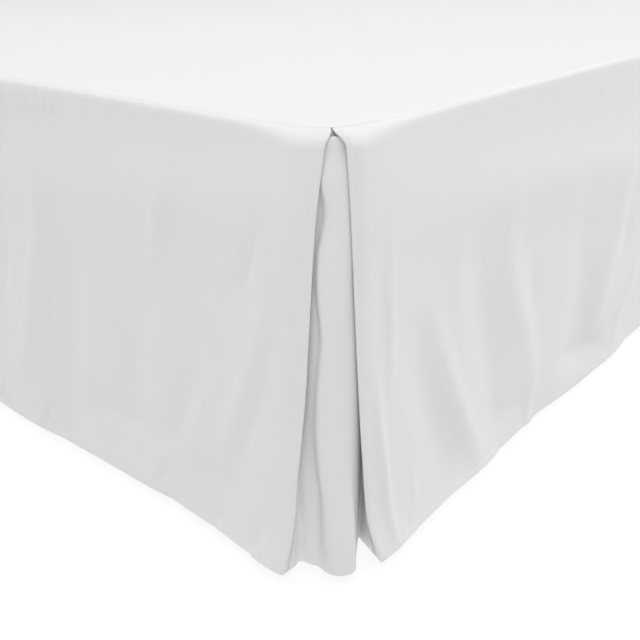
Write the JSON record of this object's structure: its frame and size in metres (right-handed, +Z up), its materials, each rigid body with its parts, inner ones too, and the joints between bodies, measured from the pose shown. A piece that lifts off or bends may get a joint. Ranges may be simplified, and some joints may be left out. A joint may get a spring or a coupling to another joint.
{
  "type": "bed skirt on a bed base",
  "caption": "Plain tailored bed skirt with an inverted kick pleat at each foot corner, laid over a plain bed base on turned legs, its hem hanging just clear of the floor.",
  "frame": {"origin": "middle of the part's box, on the floor that the legs stand on", "axes": "+Z up, +Y towards the head of the bed, -Y towards the foot, +X to the right as seen by someone standing at the foot and looking towards the head"},
  "size_m": [1.5919, 2.0685, 0.393],
  "materials": {
    "skirt_cloth": "matte white plain weave",
    "base_cover": "matte woven cover",
    "leg_wood": "satin"
  },
  "bodies": {
    "root": {"deck": "skirt_cloth", "foot_drop": "skirt_cloth", "side_drop_left": "skirt_cloth", "side_drop_right": "skirt_cloth", "corner_pleat_left": "skirt_cloth", "corner_pleat_right": "skirt_cloth", "bed_base": "base_cover", "leg_foot_left": "leg_wood", "leg_foot_right": "leg_wood", "leg_middle_left": "leg_wood", "leg_middle_right": "leg_wood", "leg_head_left": "leg_wood", "leg_head_right": "leg_wood"}
  },
  "joints": []
}
